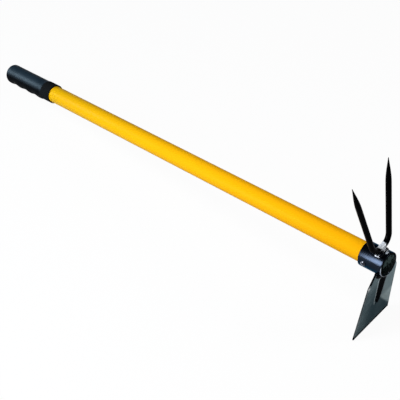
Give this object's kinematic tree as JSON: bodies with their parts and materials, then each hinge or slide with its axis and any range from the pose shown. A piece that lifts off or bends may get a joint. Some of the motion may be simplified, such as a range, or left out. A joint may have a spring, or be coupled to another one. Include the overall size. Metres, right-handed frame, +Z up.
{
  "type": "garden hoe",
  "caption": "Garden hoe whose head joins a flat blade and a pronged fork on one socket, with a painted steel tube handle and a finger-formed grip.",
  "frame": {"origin": "on the floor, under the middle of the tool's box, with the tool resting on the blade's edge and the underside of the grip", "axes": "+X along the handle on the floor, from the grip to the head; +Y across the blade; +Z up, on the side of the prongs"},
  "size_m": [0.7186, 0.0696, 0.2433],
  "materials": {
    "handle_tube": "glossy yellow powder coat",
    "grip": "black soft sleeve, satin with a matt collar",
    "socket": "gloss black paint",
    "socket_rivet": "gloss black paint",
    "end_plug": "dark moulded plastic",
    "blade": "gloss black paint",
    "blade_weld": "painted weld bead",
    "fork": "gloss black paint",
    "fork_weld": "painted weld bead"
  },
  "bodies": {
    "root": {"handle_tube": "handle_tube", "grip": "grip", "socket": "socket", "socket_rivet": "socket_rivet", "end_plug": "end_plug", "blade": "blade", "blade_weld_front": "blade_weld", "blade_weld_rear": "blade_weld", "fork": "fork", "fork_weld": "fork_weld"}
  },
  "joints": []
}
